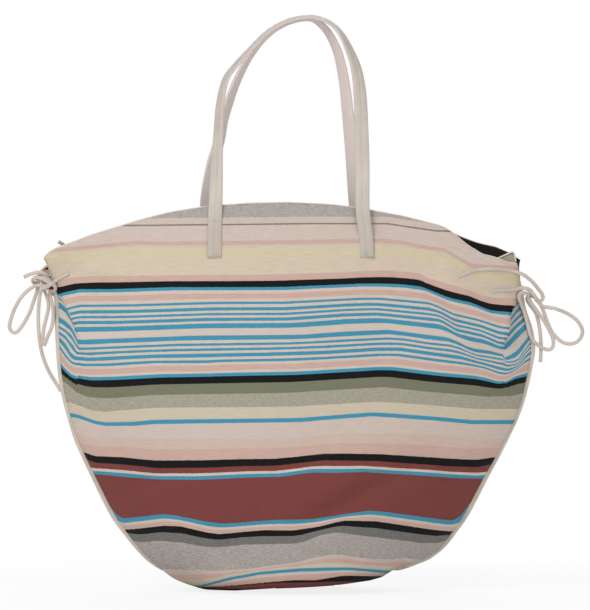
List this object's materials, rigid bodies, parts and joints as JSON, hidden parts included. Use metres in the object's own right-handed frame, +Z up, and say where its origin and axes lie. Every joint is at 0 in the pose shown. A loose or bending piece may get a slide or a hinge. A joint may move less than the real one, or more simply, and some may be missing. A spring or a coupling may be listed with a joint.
{
  "type": "beach bag",
  "caption": "Large soft tote of striped woven cotton with long leather strap handles, bound side seams, a black lining and leather laces tied in bows beside its open mouth.",
  "frame": {"origin": "middle of the base on the ground, under the middle of the bag", "axes": "+Z up, +X to the right seen from the front, +Y from the front panel to the back panel"},
  "size_m": [0.6616, 0.1942, 0.6609],
  "materials": {
    "striped_cotton": "plain woven cotton in crosswise stripes of cream, pink, blue, black, olive and dark red, matt",
    "lining_cloth": "thin plain black cotton, matt",
    "edging": "narrow folded cotton edging, pale pink, matt",
    "leather": "pale beige smooth leather, folded and edge-stitched, low sheen"
  },
  "bodies": {
    "bag_body": {"front_panel": "striped_cotton", "back_panel": "striped_cotton", "base_panel": "striped_cotton", "lining": "lining_cloth", "front_mouth_binding": "edging", "back_mouth_binding": "edging", "left_side_binding": "leather", "right_side_binding": "leather", "front_left_handle_tab": "leather", "front_right_handle_tab": "leather", "back_left_handle_tab": "leather", "back_right_handle_tab": "leather", "front_left_lace_end": "leather", "front_right_lace_end": "leather", "back_left_lace_end": "leather", "back_right_lace_end": "leather", "left_bow_knot": "leather", "left_front_lace": "leather", "left_back_lace": "leather", "left_outer_loop": "leather", "left_lower_loop": "leather", "left_short_tail": "leather", "left_long_tail": "leather", "right_bow_knot": "leather", "right_front_lace": "leather", "right_back_lace": "leather", "right_outer_loop": "leather", "right_lower_loop": "leather", "right_short_tail": "leather", "right_long_tail": "leather"},
    "front_handle": {"front_handle": "leather"},
    "back_handle": {"back_handle": "leather"}
  },
  "joints": [
    {"name": "front_handle_fold", "type": "hinge", "parent": "bag_body", "child": "front_handle", "pos_m": [0, -0.05205, 0.42515], "axis": [1, 0, 0], "range_deg": [0, 150]},
    {"name": "back_handle_fold", "type": "hinge", "parent": "bag_body", "child": "back_handle", "pos_m": [0, 0.05205, 0.42515], "axis": [-1, 0, 0], "range_deg": [0, 150]}
  ]
}
